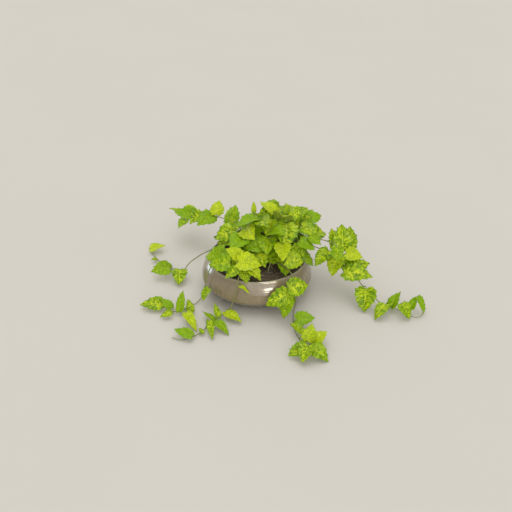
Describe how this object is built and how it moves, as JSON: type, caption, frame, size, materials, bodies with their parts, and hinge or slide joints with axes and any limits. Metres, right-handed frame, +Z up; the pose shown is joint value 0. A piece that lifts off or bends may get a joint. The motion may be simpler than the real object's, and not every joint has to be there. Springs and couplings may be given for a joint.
{
  "type": "potted pothos",
  "caption": "Leafy pothos in a wide, low glazed bowl of soil, with heart-shaped leaves and long vines that trail over the rim onto the table.",
  "frame": {"origin": "centre of the bowl's flat base", "axes": "+Z up, +X to the viewer's right along the longest spread of the vines, +Y away from the viewer; the vines that trail furthest lie to +X, -X and -Y"},
  "size_m": [0.6599, 0.5659, 0.2074],
  "materials": {
    "pot_glaze": "glossy taupe glaze with faint throwing lines",
    "soil": "dark, matte, crumbly potting mix with pale specks",
    "leaf": "satin yellow-green leaves with deeper green streaks along the side veins"
  },
  "bodies": {
    "root": {"pot": "pot_glaze", "soil": "soil", "vine_back_left": "leaf", "vine_left": "leaf", "vine_front_left": "leaf", "vine_front": "leaf", "vine_front_right": "leaf", "vine_right": "leaf", "shoot_right": "leaf", "shoot_front_left": "leaf", "shoot_front": "leaf", "shoot_front_right": "leaf", "shoot_left": "leaf", "crown_stem_01": "leaf", "crown_stem_02": "leaf", "crown_stem_03": "leaf", "crown_stem_04": "leaf", "crown_stem_05": "leaf", "crown_stem_06": "leaf", "crown_stem_07": "leaf", "crown_stem_08": "leaf", "crown_stem_09": "leaf", "crown_stem_10": "leaf", "crown_stem_11": "leaf", "crown_stem_12": "leaf", "crown_stem_13": "leaf", "crown_stem_14": "leaf", "crown_stem_15": "leaf"}
  },
  "joints": []
}
